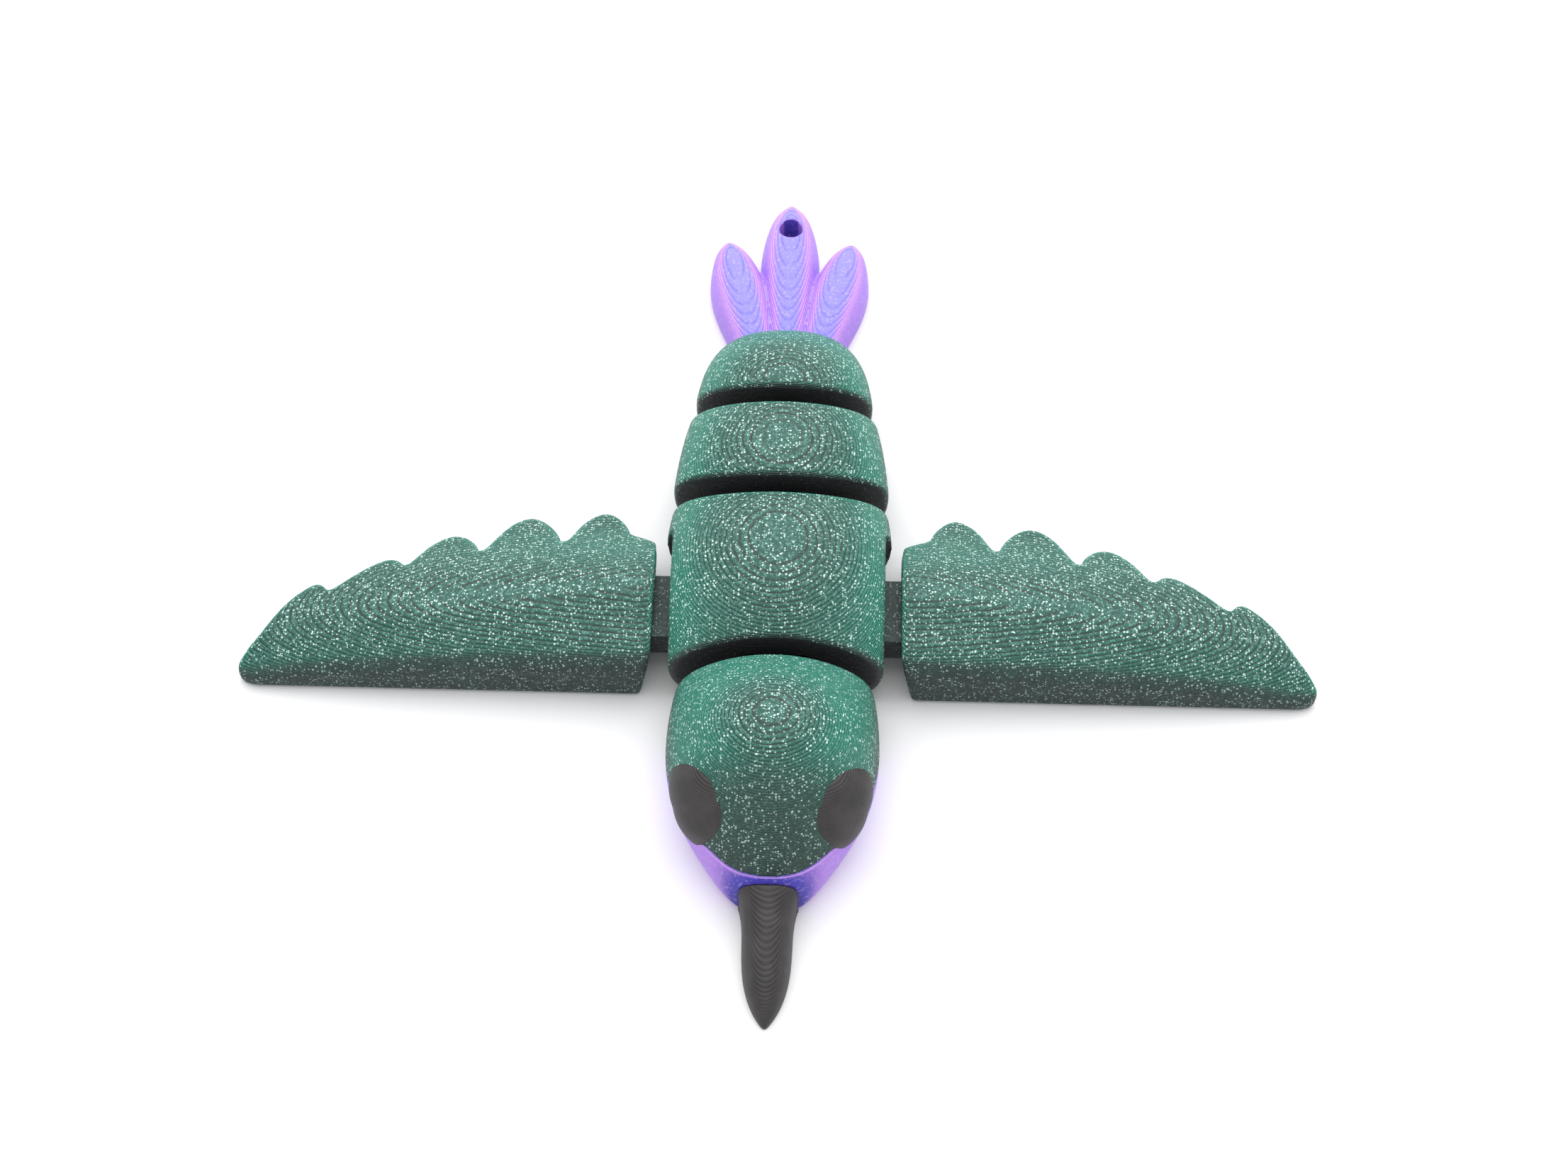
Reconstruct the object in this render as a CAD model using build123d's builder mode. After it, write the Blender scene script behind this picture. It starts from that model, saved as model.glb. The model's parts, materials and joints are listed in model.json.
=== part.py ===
"""Jointed hummingbird figure, printed in place: a row of body segments on
vertical pins, two flapping wings on pins along the flanks, and a tail fan
with a key-ring hole.  Millimetres, +Z up, beak towards -Y, belly on z = 0."""

import math
import os

from build123d import *

os.makedirs("parts", exist_ok=True)

# ---------------------------------------------------------------- body rows
# Each row: place along the body, half-width, height of the back there.
HEAD_ROWS = [
    (-16.0, 10.7, 11.4),
    (-22.5, 11.9, 15.9),
    (-28.5, 12.0, 17.4),
    (-34.0, 10.7, 15.4),
    (-38.2, 8.3, 12.0),
    (-41.4, 5.9, 9.0),
    (-43.0, 4.0, 6.4),
]
CHEST_ROWS = [(-18.0, 12.0, 10.6), (-5.5, 13.5, 15.25), (7.0, 12.6, 13.0)]
ABDOMEN_ROWS = [(4.0, 13.2, 13.7), (11.5, 12.6, 15.0), (20.5, 11.0, 12.7)]
RUMP_ROWS = [(18.5, 11.2, 13.3), (26.5, 10.1, 12.4), (31.6, 7.9, 9.4), (34.4, 5.2, 6.2)]

# Share of the height where a section is widest, and its superellipse exponent.
HEAD_SHAPE = (0.36, 2.2)
BODY_SHAPE = (0.50, 2.4)
FLANK = [(0.74, -0.15), (0.90, 0.27), (0.975, 0.6)]  # foot to widest level

# Ends of the segments on the middle line, and how far back they bow at a
# half-width of BOW_HALF_WIDTH.
BOW_HALF_WIDTH = 16.0
HEAD_REAR, HEAD_REAR_BOW = -17.4, -1.8
CHEST_FRONT, CHEST_FRONT_BOW = -15.2, -1.8
CHEST_REAR, CHEST_REAR_BOW = 3.9, 2.0
ABDOMEN_FRONT, ABDOMEN_FRONT_BOW = 6.1, 2.0
ABDOMEN_REAR, ABDOMEN_REAR_BOW = 17.3, 2.3
RUMP_FRONT, RUMP_FRONT_BOW = 20.0, 2.3
EDGE_ROUND = 0.9               # fillet round a segment's end faces
FLANK_FLAT = 12.5              # half-distance of the chest's flats for the wings
FLANK_FLAT_END = 0.6           # where those flats stop

# ------------------------------------------------------- links and their pins
CLEARANCE = 0.4                # gap round a link, as printed
PIN_SETBACK = 3.7              # pin behind the face that its pocket opens in
PIN_RADIUS = 1.5
LINK_END_RADIUS = 3.3          # round end of a link
LINK_HALF_WIDTH = 1.9
LINK_LOW, LINK_HIGH = 3.2, 8.0
LINK_ROOT = 3.0                # depth of a link's root in its own segment
PIN_SEAT = 1.0                 # depth of a pin's end in the pocket's walls

# ------------------------------------------------------------ wing hinges
HINGE_X, HINGE_Z = 9.4, 5.2
HINGE_FRONT, HINGE_BACK = -12.0, -3.6
KNUCKLE_RADIUS = 2.9
WING_PIN_RADIUS = 1.2
ARM_LOW, ARM_HIGH = 3.4, 7.0
ARM_END = 17.5
WING_POCKET_HALF_HEIGHT = 3.9

# ------------------------------------------------------------------- wings
WING_FRONT = -16.0
WING_TIP = (63.4, -14.6)
WING_ROOT = 14.4
ROOT_LEAN = 1.5                # how much further out the root is at the floor
# Stations out along the wing: distance, height of the crest, place of the crest
WING_SECTIONS = [
    (13.0, 10.1, -6.8),
    (25.0, 9.6, -8.0),
    (37.0, 8.5, -9.8),
    (50.0, 6.6, -10.8),
    (58.0, 4.6, -12.4),
    (65.0, 2.6, -13.6),
]
WING_TRAIL = 9.0               # chord line behind every feather tip
FEATHER_TIPS = [
    [(18.0, 3.2), (19.0, 5.7), (21.1, 7.2), (23.5, 5.8), (25.1, 2.7), (26.2, 0.6)],
    [(26.2, 0.6), (27.4, 4.4), (30.3, 6.3), (32.8, 4.7), (34.6, 1.4), (35.9, -0.8)],
    [(35.9, -0.8), (36.7, 1.7), (38.9, 2.9), (41.2, 1.8), (43.4, -1.3), (45.4, -3.8)],
    [(45.4, -3.8), (44.6, -2.3), (45.8, -1.3), (48.0, -1.9), (51.4, -4.5), (54.8, -6.8)],
    [(54.8, -6.8), (53.5, -5.6), (54.4, -4.6), (56.3, -5.3), (59.3, -8.5), (62.0, -12.2)],
]

# ---------------------------------------------------------------- head details
# Beak rows: place, half-width, height, and share of the half-width where it shoulders.
BEAK_ROWS = [
    (-43.0, 3.5, 6.3, 0.84),
    (-48.3, 2.8, 4.7, 0.64),
    (-53.5, 2.2, 3.2, 0.62),
    (-56.2, 1.1, 1.8, 0.62),
    (-57.4, 0.25, 0.7, 0.62),
]
THROAT_TOP = 7.1
THROAT_LINE = [(-33.0, 7.1), (-28.3, 6.3), (-25.2, 4.0), (-24.2, 0.0)]
EYE_PLACE = (7.55, -34.25, 8.7)  # middle of the long lens that makes the right eye
EYE_FACING = (0.78, -0.50, 0.38)
EYE_LONG = (0.28, 0.79, 0.55)
EYE_STRETCH = 0.8              # shift of its two overlapping lenses along it
EYE_BALL_RADIUS, EYE_HALF_THICKNESS = 5.7, 2.75

# ----------------------------------------------------------------- tail fan
TAIL_FRONT = RUMP_ROWS[-1][0]
TAIL_TIP = 57.4
# Each feather's base and tip, then its rows: share of the length, half-width, height.
MIDDLE_FEATHER = ((0, 29.4), (0, TAIL_TIP))
MIDDLE_ROWS = [
    (0, 2.0, 3.2),
    (0.2, 2.5, 3.9),
    (0.4, 3.1, 4.6),
    (0.62, 3.8, 5.3),
    (0.8, 3.6, 5.6),
    (0.93, 2.5, 5.3),
    (1, 0.7, 4.2),
]
SIDE_FEATHER = ((3.0, 30.4), (8.2, 50.8))
SIDE_ROWS = [
    (0, 2.0, 3.3),
    (0.2, 2.7, 3.9),
    (0.42, 3.3, 4.5),
    (0.64, 3.7, 5.0),
    (0.82, 3.2, 5.2),
    (0.94, 2.1, 5.0),
    (1, 0.6, 4.2),
]
FEATHER_SHOULDER = 0.66        # share of the half-width where a feather shoulders
RING_HOLE_DEPTH = 8.0          # cut from the floor, past the feather's top
RING_HOLE_Y, RING_HOLE_RADIUS = 52.4, 1.5


def export(part, name):
    """Label a finished piece and write it as its own STEP file."""
    part.label = name
    export_step(part, f"parts/{name}.step")


def back_points(half_width, top, shape):
    """Right half of a segment's cross-section, from its foot to the back's middle."""
    widest_share, roundness = shape
    widest = widest_share * top
    points = [(share * half_width, level * widest) for share, level in FLANK]
    for degrees in (0, 16, 34, 52, 70, 90):
        turn = math.radians(degrees)
        across = half_width * math.cos(turn) ** (2 / roundness)
        up = (top - widest) * math.sin(turn) ** (2 / roundness)
        points.append((across, widest + up))
    return points


def barrel_section(place, half_width, top, shape):
    """Closed cross-section of the body at one place along it, with its foot
    below the floor that trim_segment cuts it off at."""
    right = back_points(half_width, top, shape)
    left = [(-across, up) for across, up in reversed(right[:-1])]
    with BuildSketch(Plane.XZ.offset(-place)) as section:
        with BuildLine():
            Spline(right + left)
            Line(left[-1], right[0])
        make_face()
    return section.sketch


def trim_segment(front, front_bow, rear, rear_bow):
    """Trim what is being built to the floor and to two ends, bowed in plan."""
    side = BOW_HALF_WIDTH
    with BuildSketch() as outline:
        with BuildLine():
            ThreePointArc((-side, front + front_bow), (0, front), (side, front + front_bow))
            ThreePointArc((-side, rear + rear_bow), (0, rear), (side, rear + rear_bow))
            Line((-side, front + front_bow), (-side, rear + rear_bow))
            Line((side, front + front_bow), (side, rear + rear_bow))
        make_face()
    extrude(outline.sketch, amount=20, mode=Mode.INTERSECT)


def soften_end(last):
    """Fillet the arched rim of the front (last=False) or rear end face."""
    end_face = faces().sort_by(Axis.Y)[-1 if last else 0]
    rim = end_face.edges().filter_by(lambda edge: edge.bounding_box().max.Z > 1)
    fillet(rim, EDGE_ROUND)


def link_outline(rear):
    """Plan of the link behind a segment: its root, and its round end on the pin."""
    pin = pin_place(rear)
    with BuildSketch(Plane.XY.offset(LINK_LOW)) as outline:
        with Locations((0, (rear - LINK_ROOT + pin) / 2)):
            Rectangle(2 * LINK_HALF_WIDTH, pin - rear + LINK_ROOT)
        with Locations((0, pin)):
            Circle(LINK_END_RADIUS)
    return outline.sketch


def pin_place(rear):
    """Place of the pin that holds the link behind the segment ending at rear."""
    fronts_behind = {HEAD_REAR: CHEST_FRONT, CHEST_REAR: ABDOMEN_FRONT, ABDOMEN_REAR: RUMP_FRONT}
    return fronts_behind[rear] + PIN_SETBACK


def cut_link_root(rear):
    """Seat in a segment for the root of its own link."""
    with BuildSketch(Plane.XY.offset(LINK_LOW)) as seat:
        with Locations((0, rear - LINK_ROOT / 2 + 1)):
            Rectangle(2 * LINK_HALF_WIDTH, LINK_ROOT + 2)
    extrude(seat.sketch, amount=LINK_HIGH - LINK_LOW, mode=Mode.SUBTRACT)


def cut_pocket(rear):
    """Pocket for the link of the segment in front, with the pin's two seats."""
    pin = pin_place(rear)
    front = pin - PIN_SETBACK
    with BuildSketch(Plane.XY.offset(LINK_LOW - CLEARANCE)) as pocket:
        with Locations((0, pin)):
            Circle(LINK_END_RADIUS + CLEARANCE)
        with Locations((0, (front - 1 + pin) / 2)):
            Rectangle(2 * (LINK_END_RADIUS + CLEARANCE), PIN_SETBACK + 1)
    extrude(pocket.sketch, amount=LINK_HIGH - LINK_LOW + 2 * CLEARANCE, mode=Mode.SUBTRACT)
    with BuildSketch(Plane.XY.offset(LINK_LOW - CLEARANCE - PIN_SEAT)) as seats:
        with Locations((0, pin)):
            Circle(PIN_RADIUS)
    extrude(seats.sketch, amount=LINK_HIGH - LINK_LOW + 2 * (CLEARANCE + PIN_SEAT), mode=Mode.SUBTRACT)


def cut_wing_pocket(side):
    """Pocket in the chest's flank for a wing's knuckle, with the pin's seats."""
    hinge = Plane.XZ.offset(-(HINGE_FRONT - CLEARANCE))
    length = HINGE_BACK - HINGE_FRONT + 2 * CLEARANCE
    with BuildSketch(hinge) as pocket:
        with Locations((side * HINGE_X, HINGE_Z)):
            Circle(WING_POCKET_HALF_HEIGHT)
        with Locations((side * (HINGE_X + 4), HINGE_Z)):
            Rectangle(8, 2 * WING_POCKET_HALF_HEIGHT)
    extrude(pocket.sketch, amount=-length, mode=Mode.SUBTRACT)
    with BuildSketch(Plane.XZ.offset(-(HINGE_FRONT - CLEARANCE - PIN_SEAT))) as seats:
        with Locations((side * HINGE_X, HINGE_Z)):
            Circle(WING_PIN_RADIUS)
    extrude(seats.sketch, amount=-(length + 2 * PIN_SEAT), mode=Mode.SUBTRACT)


# --------------------------------------------------------------- head pieces
def eye_blank(side):
    """Long lens that fills an eye socket and stands proud of the head."""
    middle = Vector(side * EYE_PLACE[0], EYE_PLACE[1], EYE_PLACE[2])
    facing = Vector(side * EYE_FACING[0], EYE_FACING[1], EYE_FACING[2])
    long_axis = Vector(side * EYE_LONG[0], EYE_LONG[1], EYE_LONG[2])
    reach = facing * (EYE_BALL_RADIUS - EYE_HALF_THICKNESS)
    for shift in (-EYE_STRETCH, EYE_STRETCH):
        inner = Plane(origin=middle + long_axis * shift - reach, z_dir=facing)
        outer = Plane(origin=middle + long_axis * shift + reach, z_dir=facing)
        with BuildPart(mode=Mode.PRIVATE) as lens:
            with Locations(inner):
                Sphere(EYE_BALL_RADIUS)
            with Locations(outer):
                Sphere(EYE_BALL_RADIUS, mode=Mode.INTERSECT)
        add(lens.part)


with BuildPart() as eye_right:
    eye_blank(1)
export(eye_right.part, "eye_right")

with BuildPart() as eye_left:
    eye_blank(-1)
export(eye_left.part, "eye_left")

with BuildPart() as head_form:
    loft([barrel_section(*row, HEAD_SHAPE) for row in HEAD_ROWS])
    trim_segment(HEAD_ROWS[-1][0] - 2, 0.1, HEAD_REAR, HEAD_REAR_BOW)
    soften_end(last=True)
    cut_link_root(HEAD_REAR)
    add(eye_right.part, mode=Mode.SUBTRACT)
    add(eye_left.part, mode=Mode.SUBTRACT)


def throat_region(mode):
    """Everything under the line where the throat's colour meets the cap's."""
    front = HEAD_ROWS[-1][0] - 2
    with BuildSketch(Plane.YZ) as region:
        with BuildLine():
            Polyline([(THROAT_LINE[-1][0], -1), (front, -1), (front, THROAT_TOP), THROAT_LINE[0]])
            Spline(THROAT_LINE, tangents=[(1, 0), (-0.1, -1)])
            Line(THROAT_LINE[-1], (THROAT_LINE[-1][0], -1))
        make_face()
    extrude(region.sketch, amount=20, both=True, mode=mode)


with BuildPart() as throat:
    add(head_form.part)
    throat_region(Mode.INTERSECT)
export(throat.part, "throat")

with BuildPart() as head_shell:
    add(head_form.part)
    throat_region(Mode.SUBTRACT)
export(head_shell.part, "head_shell")

def arch_section(plane, half_width, top, shoulder):
    """Flat-footed arch: the cross-section of the beak and of a tail feather."""
    right = [(half_width, 0), (0.97 * half_width, 0.4 * top), (shoulder * half_width, 0.86 * top)]
    left = [(-across, up) for across, up in reversed(right)]
    with BuildSketch(plane) as section:
        with BuildLine():
            Spline(right + [(0, top)] + left)
            Line(left[-1], right[0])
        make_face()
    return section.sketch


with BuildPart() as beak:
    loft([arch_section(Plane.XZ.offset(-place), *shape) for place, *shape in BEAK_ROWS])
export(beak.part, "beak")

# ------------------------------------------------------------- body segments
with BuildPart() as chest_shell:
    loft([barrel_section(*row, BODY_SHAPE) for row in CHEST_ROWS])
    trim_segment(CHEST_FRONT, CHEST_FRONT_BOW, CHEST_REAR, CHEST_REAR_BOW)
    soften_end(last=True)
    soften_end(last=False)
    flat_length = FLANK_FLAT_END - CHEST_FRONT + 3
    for side in (-1, 1):
        with BuildSketch():
            with Locations((side * (FLANK_FLAT + 2), FLANK_FLAT_END - flat_length / 2)):
                Rectangle(4, flat_length)
        extrude(amount=20, mode=Mode.SUBTRACT)
        cut_wing_pocket(side)
    cut_link_root(CHEST_REAR)
    cut_pocket(HEAD_REAR)
export(chest_shell.part, "chest_shell")

with BuildPart() as abdomen_shell:
    loft([barrel_section(*row, BODY_SHAPE) for row in ABDOMEN_ROWS])
    trim_segment(ABDOMEN_FRONT, ABDOMEN_FRONT_BOW, ABDOMEN_REAR, ABDOMEN_REAR_BOW)
    soften_end(last=True)
    soften_end(last=False)
    cut_link_root(ABDOMEN_REAR)
    cut_pocket(CHEST_REAR)
export(abdomen_shell.part, "abdomen_shell")

with BuildPart() as rump_shell:
    loft([barrel_section(*row, BODY_SHAPE) for row in RUMP_ROWS])
    trim_segment(RUMP_FRONT, RUMP_FRONT_BOW, TAIL_FRONT + 2, 0.1)
    soften_end(last=False)
    cut_pocket(ABDOMEN_REAR)
export(rump_shell.part, "rump_shell")

# ------------------------------------------------------- links and their pins
LINKS = {"neck": HEAD_REAR, "waist": CHEST_REAR, "rump": ABDOMEN_REAR}

for joint, rear in LINKS.items():
    with BuildPart() as link:
        extrude(link_outline(rear), amount=LINK_HIGH - LINK_LOW)
        with BuildSketch(Plane.XY.offset(LINK_LOW)):
            with Locations((0, pin_place(rear))):
                Circle(PIN_RADIUS + CLEARANCE)
        extrude(amount=LINK_HIGH - LINK_LOW, mode=Mode.SUBTRACT)
    export(link.part, f"{joint}_link")
    with BuildPart() as pin:
        with BuildSketch(Plane.XY.offset(LINK_LOW - CLEARANCE - PIN_SEAT)):
            with Locations((0, pin_place(rear))):
                Circle(PIN_RADIUS)
        extrude(amount=LINK_HIGH - LINK_LOW + 2 * (CLEARANCE + PIN_SEAT))
    export(pin.part, f"{joint}_pin")

# ------------------------------------------------------------------- tail fan
def feather(ends, rows):
    """Feather that rises and widens from its base to its rounded tip."""
    base, tip = Vector(*ends[0]), Vector(*ends[1])
    along = tip - base
    outward = along.cross(Vector(0, 0, 1))
    sections = []
    for share, half_width, top in rows:
        station = Plane(origin=base + along * share, x_dir=outward, z_dir=-along)
        sections.append(arch_section(station, half_width, top, FEATHER_SHOULDER))
    loft(sections)


with BuildPart() as middle_feather:
    feather(MIDDLE_FEATHER, MIDDLE_ROWS)

with BuildPart() as side_feather:
    feather(SIDE_FEATHER, SIDE_ROWS)

with BuildPart() as tail_fan:
    add(side_feather.part)
    mirror(about=Plane.YZ)
    add(middle_feather.part)
    split(bisect_by=Plane.XZ.offset(-TAIL_FRONT), keep=Keep.BOTTOM)
    with BuildSketch():
        with Locations((0, RING_HOLE_Y)):
            Circle(RING_HOLE_RADIUS)
    extrude(amount=RING_HOLE_DEPTH, mode=Mode.SUBTRACT)
export(tail_fan.part, "tail_fan")

# ------------------------------------------------------------ wings and hinges
with BuildPart() as knuckle_right:
    with BuildSketch(Plane.XZ.offset(-HINGE_FRONT)):
        with Locations((HINGE_X, HINGE_Z)):
            Circle(KNUCKLE_RADIUS)
        with Locations(((HINGE_X + ARM_END) / 2, (ARM_LOW + ARM_HIGH) / 2)):
            Rectangle(ARM_END - HINGE_X, ARM_HIGH - ARM_LOW)
    extrude(amount=-(HINGE_BACK - HINGE_FRONT))
    with BuildSketch(Plane.XZ.offset(-HINGE_FRONT)):
        with Locations((HINGE_X, HINGE_Z)):
            Circle(WING_PIN_RADIUS + CLEARANCE)
    extrude(amount=-(HINGE_BACK - HINGE_FRONT), mode=Mode.SUBTRACT)
export(knuckle_right.part, "wing_knuckle_right")

with BuildPart() as wing_right:
    for place, crest, crest_y in WING_SECTIONS:
        front_edge = WING_FRONT + 0.8
        profile = [
            (WING_FRONT, 0.5 * crest),
            (front_edge, 0.72 * crest),
            ((front_edge + crest_y) / 2, 0.89 * crest),
            (crest_y, crest),
            (0, 0.76 * crest),
            (WING_TRAIL, 0.42 * crest),
        ]
        with BuildSketch(Plane.YZ.offset(place)):
            with BuildLine():
                Polyline([profile[-1], (WING_TRAIL, -1), (WING_FRONT, -1), profile[0]])
                Spline(profile)
            make_face()
    loft()
    with BuildSketch():
        with BuildLine():
            Polyline([FEATHER_TIPS[0][0], (WING_ROOT, 1.3), (WING_ROOT, WING_FRONT), (60.8, WING_FRONT)])
            Spline([(60.8, WING_FRONT), WING_TIP, FEATHER_TIPS[-1][-1]], tangents=[(1, 0), (-0.6, 1)])
            for outline in FEATHER_TIPS:
                Spline(outline)
        make_face()
    extrude(amount=20, mode=Mode.INTERSECT)
    with BuildSketch(Plane.XZ.offset(-WING_TRAIL)):
        with BuildLine():
            Polyline([(WING_ROOT, 8), (WING_ROOT + ROOT_LEAN, 0), (WING_ROOT - 1, 0), (WING_ROOT, 8)])
        make_face()
    extrude(amount=40, mode=Mode.SUBTRACT)
    add(knuckle_right.part, mode=Mode.SUBTRACT)
export(wing_right.part, "wing_right")

with BuildPart() as wing_pin_right:
    with BuildSketch(Plane.XZ.offset(-(HINGE_FRONT - CLEARANCE - PIN_SEAT))):
        with Locations((HINGE_X, HINGE_Z)):
            Circle(WING_PIN_RADIUS)
    extrude(amount=-(HINGE_BACK - HINGE_FRONT + 2 * (CLEARANCE + PIN_SEAT)))
export(wing_pin_right.part, "wing_pin_right")

RIGHT_PIECES = {
    "wing_left": wing_right.part,
    "wing_knuckle_left": knuckle_right.part,
    "wing_pin_left": wing_pin_right.part,
}
for name, right_piece in RIGHT_PIECES.items():
    with BuildPart() as left_piece:
        add(right_piece)
        mirror(about=Plane.YZ, mode=Mode.REPLACE)
    export(left_piece.part, name)
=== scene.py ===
"""Jointed hummingbird figure: the printed finish of every piece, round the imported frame."""

import json
import math

import bpy
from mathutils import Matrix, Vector


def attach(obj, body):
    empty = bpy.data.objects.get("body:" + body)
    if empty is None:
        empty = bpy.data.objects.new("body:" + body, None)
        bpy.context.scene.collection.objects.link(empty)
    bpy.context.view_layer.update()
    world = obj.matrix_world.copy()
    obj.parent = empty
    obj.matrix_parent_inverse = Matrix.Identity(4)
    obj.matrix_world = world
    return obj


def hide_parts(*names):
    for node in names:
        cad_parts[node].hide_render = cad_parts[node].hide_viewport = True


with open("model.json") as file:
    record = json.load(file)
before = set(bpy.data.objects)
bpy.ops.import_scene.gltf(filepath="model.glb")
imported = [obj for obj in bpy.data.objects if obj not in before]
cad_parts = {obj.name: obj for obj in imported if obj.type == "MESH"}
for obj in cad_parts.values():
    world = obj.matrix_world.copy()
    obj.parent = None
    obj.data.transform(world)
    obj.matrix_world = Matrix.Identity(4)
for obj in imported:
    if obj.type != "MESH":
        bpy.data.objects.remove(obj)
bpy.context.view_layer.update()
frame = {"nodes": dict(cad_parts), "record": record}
nodes = frame["nodes"]

MM = 0.001
LAYER = 0.2 * MM                # printed layer
SEGMENTS = ("head_shell", "chest_shell", "abdomen_shell", "rump_shell")
WINGS = ("wing_left", "wing_right")

# A segment's back is drawn up into a ridge above its foot, and down a little beside it.
CROWN_FOOT = 6.0 * MM
CROWN_HALF_WIDTH = 6.5 * MM
CROWN_RISE = 0.7 * MM
CROWN_SINK = 0.45               # share of the rise that the whole back loses

# Voxel in millimetres, smoothing rounds and swelling in millimetres of each rounded shell.
ROUNDED = {
    "head_shell": (0.2, 8),
    "throat": (0.22, 6),
    "beak": (0.14, 6),
    "eye_left": (0.13, 8, 0.2),
    "eye_right": (0.13, 8, 0.2),
    "chest_shell": (0.23, 10),
    "abdomen_shell": (0.22, 10),
    "rump_shell": (0.22, 10),
    "tail_fan": (0.16, 16),
    "wing_left": (0.23, 46),
    "wing_right": (0.23, 46),
}
MERGE_DISTANCE = 0.002 * MM     # corners of a CAD shell's triangles this near are one

# Coarse and fine silver flakes: size of a cell, and the share of cells that hold none.
FLAKES = ((0.36 * MM, 0.84), (0.27 * MM, 0.80))
FINE_GRAIN = 0.20 * MM
LAST_GAP = 28.0 * MM            # behind here a segment's end is open to the light and gets no painted gap shade

CAMERA_AIM = (0.65 * MM, -3.6 * MM, 5.0 * MM)
CAMERA_TURN = 1.6               # degrees
CAMERA_LIFT = 57                # degrees
CAMERA_DISTANCE = 286 * MM
CAMERA_SENSOR = 36              # millimetres
CAMERA_LENS = 55.3345           # millimetres

# Each lamp's place, width and power; all of them point at the figure.
LAMPS = {
    "top_softbox": ((0, 0.5, 0.85), 1.9, 16),
    "front_fill": ((0, -0.9, 0.5), 0.8, 0.6),
}
STUDIO_GLOW = 0.72
FLOOR_WIDTH = 6.0
FLOOR_DROP = 0.02 * MM          # just under the belly, so that the two don't flicker


# ------------------------------------------------------------------ materials
class Number:
    """A value that changes over a surface. Arithmetic on it adds Math nodes."""

    def __init__(self, finish, socket):
        self.finish = finish
        self.socket = socket

    def maths(self, operation, *values):
        return self.finish.node("ShaderNodeMath", {"operation": operation}, *values)

    def __add__(self, other):
        return self.maths("ADD", self, other)

    __radd__ = __add__

    def __sub__(self, other):
        return self.maths("SUBTRACT", self, other)

    def __rsub__(self, other):
        return self.maths("SUBTRACT", other, self)

    def __mul__(self, other):
        return self.maths("MULTIPLY", self, other)

    __rmul__ = __mul__

    def __truediv__(self, other):
        return self.maths("DIVIDE", self, other)

    def __rtruediv__(self, other):
        return self.maths("DIVIDE", other, self)

    def __abs__(self):
        return self.maths("ABSOLUTE", self)

    def least(self, other):
        return self.maths("MINIMUM", self, other)

    def most(self, other):
        return self.maths("MAXIMUM", self, other)

    def fraction(self):
        return self.maths("FRACT", self)

    def ramp(self, low, high):
        """Smooth change from 0 to 1 as this value goes from low to high."""
        settings = {"interpolation_type": "SMOOTHSTEP"}
        return self.finish.node("ShaderNodeMapRange", settings, self, low, high, 0.0, 1.0)


class Finish:
    """A material being made: one Principled shader and the nodes that feed it."""

    def __init__(self, name, **constants):
        self.material = bpy.data.materials.new(name)
        self.material.use_nodes = True
        self.tree = self.material.node_tree
        self.shader = self.tree.nodes["Principled BSDF"]
        for socket, value in constants.items():
            self.shader.inputs[socket.replace("_", " ")].default_value = value

    def node(self, kind, settings, *values, output=0, **named):
        """Any node: its settings first, then its input sockets, in order or by name."""
        made = self.tree.nodes.new(kind)
        for setting, value in settings.items():
            setattr(made, setting, value)
        sockets = [socket for socket in made.inputs if socket.enabled]
        pairs = list(zip(sockets, values))
        pairs += [(made.inputs[name.replace("_", " ")], value) for name, value in named.items()]
        for socket, value in pairs:
            if isinstance(value, Number):
                self.tree.links.new(value.socket, socket)
            else:
                socket.default_value = value
        outputs = [socket for socket in made.outputs if socket.enabled]
        return Number(self, outputs[output])

    def feed(self, socket, value):
        self.tree.links.new(value.socket, self.shader.inputs[socket])

    def emboss(self, depth, height):
        """Raise the surface by up to depth where height is 1."""
        self.feed("Normal", self.node("ShaderNodeBump", {}, Strength=1.0, Distance=depth, Height=height))

    def split(self, point):
        """The three numbers of a point or a direction."""
        return [self.node("ShaderNodeSeparateXYZ", {}, point, output=i) for i in range(3)]

    def place(self):
        """Point on the surface, in the object's own metres."""
        return self.node("ShaderNodeTexCoord", {}, output=3)

    def facing(self):
        """Direction that the surface faces: across the figure, along it and up."""
        return self.split(self.node("ShaderNodeTexCoord", {}, output=1))

    def noise(self, scale, detail):
        return self.node("ShaderNodeTexNoise", {}, self.place(), Scale=scale, Detail=detail)

    def cell_distance(self, size):
        """How far away the middle of the nearest cell is, in cells."""
        return self.node("ShaderNodeTexVoronoi", {}, self.place(), Scale=1 / size)

    def cell_chance(self, size):
        """A random number from 0 to 1 that each cell has to itself."""
        tint = self.node("ShaderNodeTexVoronoi", {}, self.place(), Scale=1 / size, output=1)
        return self.node("ShaderNodeSeparateColor", {}, tint)

    def mix(self, factor, first, second):
        return self.node("ShaderNodeMix", {"data_type": "RGBA"}, factor, first, second)

    def layers(self, up):
        """Two masks: where a layer's edge gets painted shade, and the layer's rounded profile."""
        height = self.split(self.place())[2] / LAYER
        share = (height + self.noise(260.0, 2.0) * 0.7 + 0.5).fraction()
        from_edge = share.least(1 - share) * 2
        flat = abs(up).ramp(0.6, 0.95)
        groove_shade = from_edge.ramp(0.5, 0.1) * (flat * 0.65 + 0.35) * abs(up).ramp(0.999, 0.985)
        return groove_shade, from_edge.ramp(0.0, 0.9) * (1 - flat * 0.45)


def colour(red, green, blue):
    """sRGB bytes as a linear colour."""
    def linear(value):
        value /= 255
        return value / 12.92 if value < 0.04045 else ((value + 0.055) / 1.055) ** 2.4
    return (linear(red), linear(green), linear(blue), 1.0)


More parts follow.
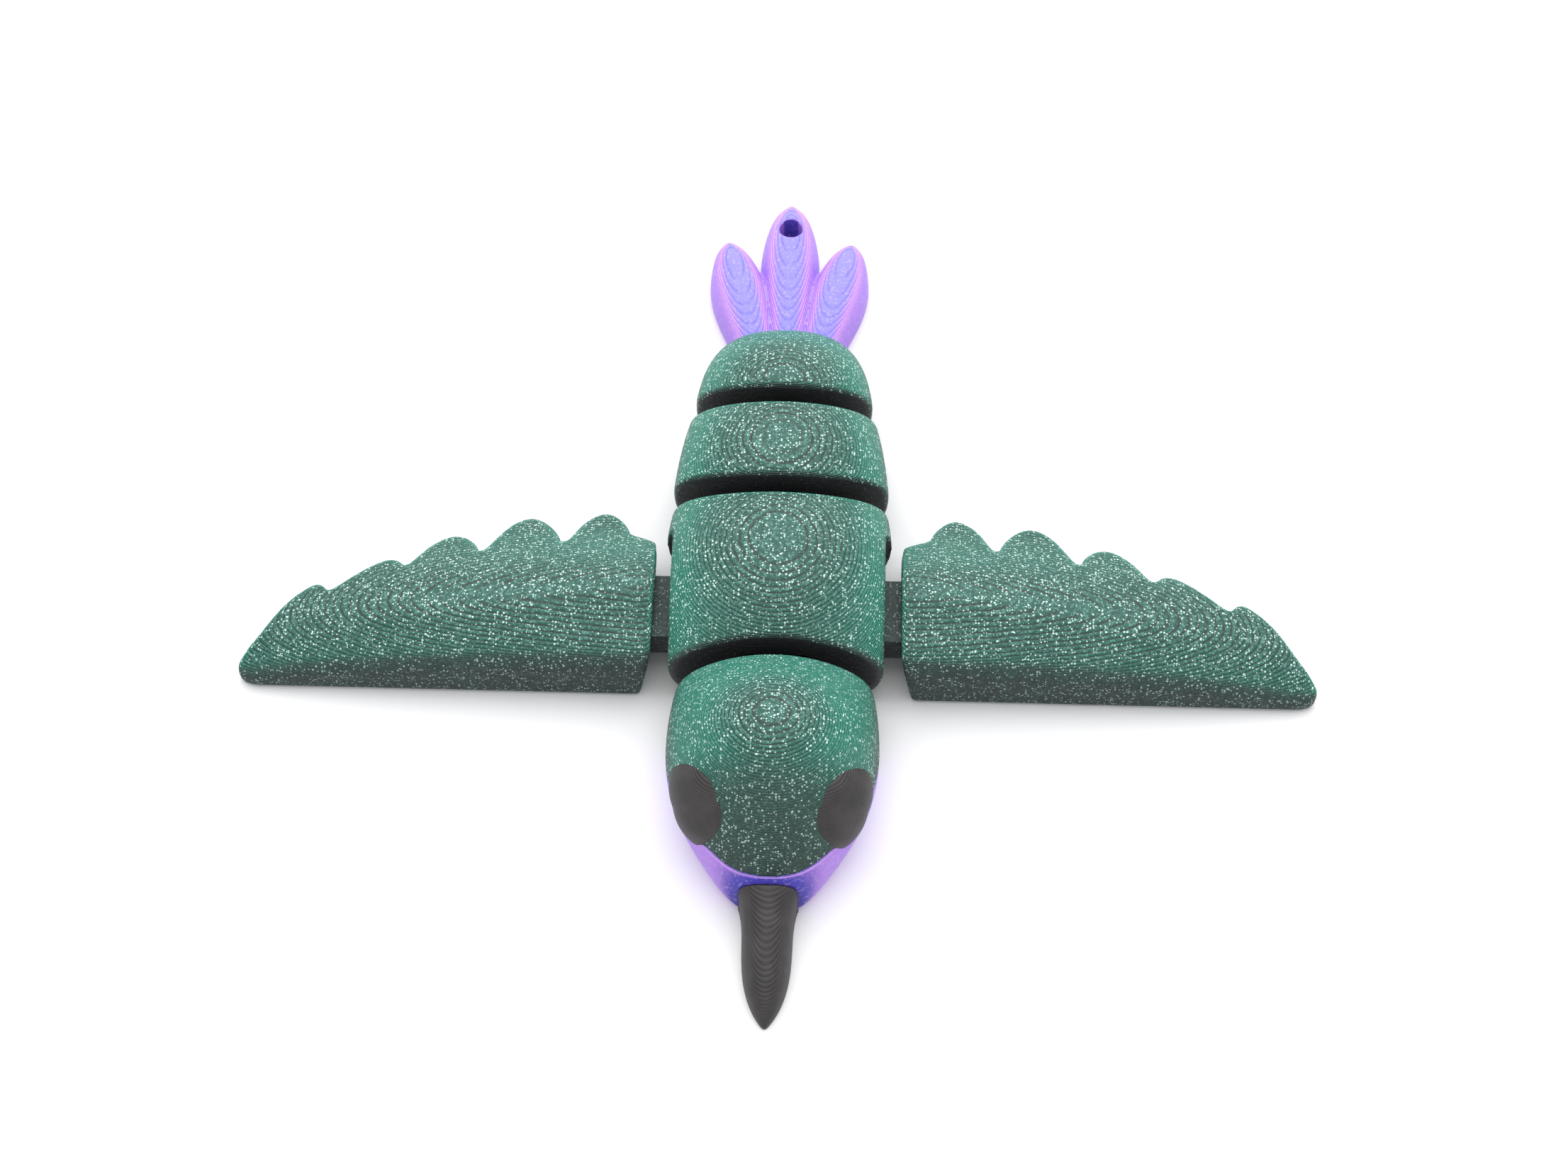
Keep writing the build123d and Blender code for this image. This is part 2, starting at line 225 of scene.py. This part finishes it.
def glitter_finish(name, end_shade_share=0.0, all_shade_share=0.0):
    """Dark green plastic full of silver flakes with painted glints, painted light and shade by facing
    and in the layer grooves, and painted gap shade by those shares on a segment's end faces or all
    over, as inside the gaps."""
    side_painted_shade, flank_green = colour(24, 52, 48), colour(10, 122, 102)
    top_painted_green, front_painted_shade = colour(10, 78, 67), colour(16, 38, 36)
    milky_green, pale_grain = colour(58, 112, 98), colour(124, 184, 170)
    groove_shade_green, silver_glint, gap_painted_shade = colour(9, 32, 27), colour(206, 238, 228), colour(3, 7, 15)
    finish = Finish(name)
    _, along, up = finish.facing()
    groove_shade, bead = finish.layers(up)
    # painted light and shade by facing: steep sides darkened as painted shade, tops given a darker
    # painted green than the mid slopes
    base = finish.mix(up.ramp(0.05, 0.6), side_painted_shade, flank_green)
    base = finish.mix(up.ramp(0.80, 0.98), base, top_painted_green)
    # painted shade on faces turned to the front, away from the lamps; it also dims the patches, grain
    # and flakes there
    front_shade = (0 - along).ramp(0.2, 0.75)
    base = finish.mix(front_shade * 0.92, base, front_painted_shade)
    patches = finish.noise(170.0, 3.0).ramp(0.45, 0.75)
    base = finish.mix(patches * (0.3 - front_shade * 0.22), base, milky_green)
    grain = finish.cell_chance(FINE_GRAIN).ramp(0.5, 1.0)
    base = finish.mix(grain * (0.42 - front_shade * 0.3), base, pale_grain)
    # painted shade along the edge of each printed layer
    base = finish.mix(groove_shade * 0.85, base, groove_shade_green)
    coarse, fine = [
        finish.cell_distance(size).ramp(0.42, 0.26) * finish.cell_chance(size).ramp(empty - 0.06, empty)
        for size, empty in FLAKES
    ]
    # silver flakes painted near white: partly their own silver, partly a painted glint; dimmed where the
    # painted groove and front shade fall
    flake_glint = coarse.most(fine)
    base = finish.mix(flake_glint * (0.95 - groove_shade * 0.4 - front_shade * 0.4), base, silver_glint)
    if end_shade_share or all_shade_share:
        # painted shade on end faces that look into the gaps between segments
        end_shade = abs(along).ramp(0.75, 0.93) * abs(up).ramp(0.4, 0.2)
        end_shade = end_shade * finish.split(finish.place())[1].ramp(LAST_GAP + MM, LAST_GAP)
        base = finish.mix((end_shade * end_shade_share).most(all_shade_share), base, gap_painted_shade)
    finish.feed("Base Color", base)
    finish.feed("Roughness", 0.5 - flake_glint * 0.25)
    finish.emboss(0.07 * MM, bead + flake_glint * 0.15)
    return finish.material


def silk_finish():
    """Shiny violet plastic, pink on the flanks, with painted shade in blue on faces turned to the front,
    towards the beak.
    """
    flank_pink, top_violet = colour(206, 150, 242), colour(142, 134, 240)
    front_shade_blue, side_violet = colour(66, 56, 186), colour(176, 130, 244)
    pale_grain, groove_shade_blue = colour(222, 196, 252), colour(74, 66, 190)
    finish = Finish("purple_silk", Roughness=0.36)
    across, along, up = finish.facing()
    groove_shade, bead = finish.layers(up)
    base = finish.mix(up.ramp(0.80, 0.99), flank_pink, top_violet)
    # painted shade: faces turned to the front go blue
    base = finish.mix((0 - along).ramp(0.55, 0.9), base, front_shade_blue)
    base = finish.mix(abs(across).ramp(0.55, 0.95), base, side_violet)
    base = finish.mix(finish.noise(2600.0, 1.0).ramp(0.5, 0.75) * 0.3, base, pale_grain)
    # painted shade along the edge of each printed layer
    base = finish.mix(groove_shade * 0.4, base, groove_shade_blue)
    finish.feed("Base Color", base)
    finish.emboss(0.06 * MM, bead)
    return finish.material


def matte_finish():
    """Charcoal plastic of the beak and the eyes, a little dusty."""
    charcoal, dusty, groove_shade_black = colour(42, 39, 39), colour(56, 52, 52), colour(14, 13, 14)
    finish = Finish("black_matte", Roughness=0.46)
    groove_shade, bead = finish.layers(finish.facing()[2])
    base = finish.mix(finish.noise(420.0, 4.0).ramp(0.4, 0.7), charcoal, dusty)
    # painted shade along the edge of each printed layer
    finish.feed("Base Color", finish.mix(groove_shade * 0.4, base, groove_shade_black))
    finish.emboss(0.045 * MM, bead)
    return finish.material


FINISHES = {
    "green_glitter": glitter_finish("green_glitter"),
    "purple_silk": silk_finish(),
    "black_matte": matte_finish(),
}
SEGMENT_GAP_SHADE_FINISH = glitter_finish("green_glitter_gap_shade", end_shade_share=0.95)
# green with painted shade all over, for the links and knuckles that sit in the gaps
INNER_SHADE_FINISH = glitter_finish("green_glitter_inner_shade", all_shade_share=0.72)


# --------------------------------------------------------------------- pieces
def raise_crown(mesh):
    """Draw a segment's flat back up a little into a gentle ridge along its middle."""
    for vertex in mesh.vertices:
        share_up = max(0.0, vertex.co.z / CROWN_FOOT - 1)
        ridge = math.exp(-((vertex.co.x / CROWN_HALF_WIDTH) ** 2)) - CROWN_SINK
        vertex.co.z += CROWN_RISE * min(1.0, share_up) * ridge


def merged_copy(shell_name):
    """Copy of a CAD shell, with its loose triangles joined up, selected and active."""
    piece = bpy.data.objects.new(shell_name + "_printed", nodes[shell_name].data.copy())
    bpy.context.scene.collection.objects.link(piece)
    bpy.ops.object.select_all(action="DESELECT")
    bpy.context.view_layer.objects.active = piece
    piece.select_set(True)
    bpy.ops.object.mode_set(mode="EDIT")
    bpy.ops.mesh.select_all(action="SELECT")
    bpy.ops.mesh.remove_doubles(threshold=MERGE_DISTANCE)
    bpy.ops.object.mode_set(mode="OBJECT")
    return piece


def round_off(piece, voxel, rounds, swell=0.0):
    """Soften every rim as a nozzle does, and swell the piece a little if asked."""
    skin = piece.modifiers.new("skin", "REMESH")
    skin.mode = "VOXEL"
    skin.voxel_size = voxel * MM
    rims = piece.modifiers.new("rims", "SMOOTH")
    rims.factor = 0.5
    rims.iterations = rounds
    if swell:
        proud = piece.modifiers.new("proud", "DISPLACE")
        proud.strength = swell * MM
        proud.mid_level = 0.0
    for modifier in [modifier.name for modifier in piece.modifiers]:
        bpy.ops.object.modifier_apply(modifier=modifier)


def printed_piece(shell_name, slot_name):
    """The rounded piece that is shown in place of a CAD shell."""
    piece = merged_copy(shell_name)
    round_off(piece, *ROUNDED[shell_name])
    if shell_name in SEGMENTS:
        raise_crown(piece.data)
    bpy.ops.object.shade_smooth()
    piece.data.materials.clear()
    piece.data.materials.append(SEGMENT_GAP_SHADE_FINISH if shell_name in SEGMENTS else FINISHES[slot_name])
    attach(piece, BODY_OF[shell_name])
    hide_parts(shell_name)


BODY_OF = {node: body for body, held in frame["record"]["behaviour"]["bodies"].items() for node in held}
for part in frame["record"]["subparts"]:
    name, slot_name = part["node"], part["material_slot"]
    mesh = nodes[name].data
    mesh.materials.clear()
    # links and knuckles sit in the gaps, so they get the finish with painted shade all over
    inner = slot_name == "green_glitter" and name not in SEGMENTS + WINGS
    mesh.materials.append(INNER_SHADE_FINISH if inner else FINISHES[slot_name])
    if name in ROUNDED:
        printed_piece(name, slot_name)


# --------------------------------------------------------- floor, light, camera
def make_floor():
    bpy.ops.object.select_all(action="DESELECT")
    bpy.ops.mesh.primitive_plane_add(size=FLOOR_WIDTH, location=(0, 0, -FLOOR_DROP))
    floor = bpy.context.object
    floor.name = "floor"
    finish = Finish("floor_paper", Base_Color=(0.93, 0.93, 0.94, 1.0), Roughness=0.9)
    floor.data.materials.append(finish.material)


def make_camera():
    camera = bpy.data.objects.new("camera", bpy.data.cameras.new("camera"))
    bpy.context.scene.collection.objects.link(camera)
    bpy.context.scene.camera = camera
    turn, lift = math.radians(CAMERA_TURN), math.radians(CAMERA_LIFT)
    back = Vector((math.sin(turn) * math.cos(lift), -math.cos(turn) * math.cos(lift), math.sin(lift)))
    camera.location = Vector(CAMERA_AIM) + back * CAMERA_DISTANCE
    camera.rotation_mode = "QUATERNION"
    camera.rotation_quaternion = (-back).to_track_quat("-Z", "Y")
    camera.data.sensor_width = CAMERA_SENSOR
    camera.data.lens = CAMERA_LENS
    camera.data.clip_start = 0.01
    camera.data.clip_end = 20


def make_lamp(name, place, width, power):
    light = bpy.data.lights.new(name, "AREA")
    light.shape = "DISK"
    light.size = width
    light.energy = power
    lamp = bpy.data.objects.new(name, light)
    bpy.context.scene.collection.objects.link(lamp)
    lamp.location = place
    lamp.rotation_euler = (-Vector(place)).to_track_quat("-Z", "Y").to_euler()


def make_studio_glow():
    world = bpy.data.worlds.new("studio")
    bpy.context.scene.world = world
    world.use_nodes = True
    background = world.node_tree.nodes["Background"]
    background.inputs["Color"].default_value = (1, 1, 1, 1)
    background.inputs["Strength"].default_value = STUDIO_GLOW


make_floor()
make_camera()
for lamp_name, settings in LAMPS.items():
    make_lamp(lamp_name, *settings)
make_studio_glow()
bpy.context.scene.view_settings.view_transform = "Standard"
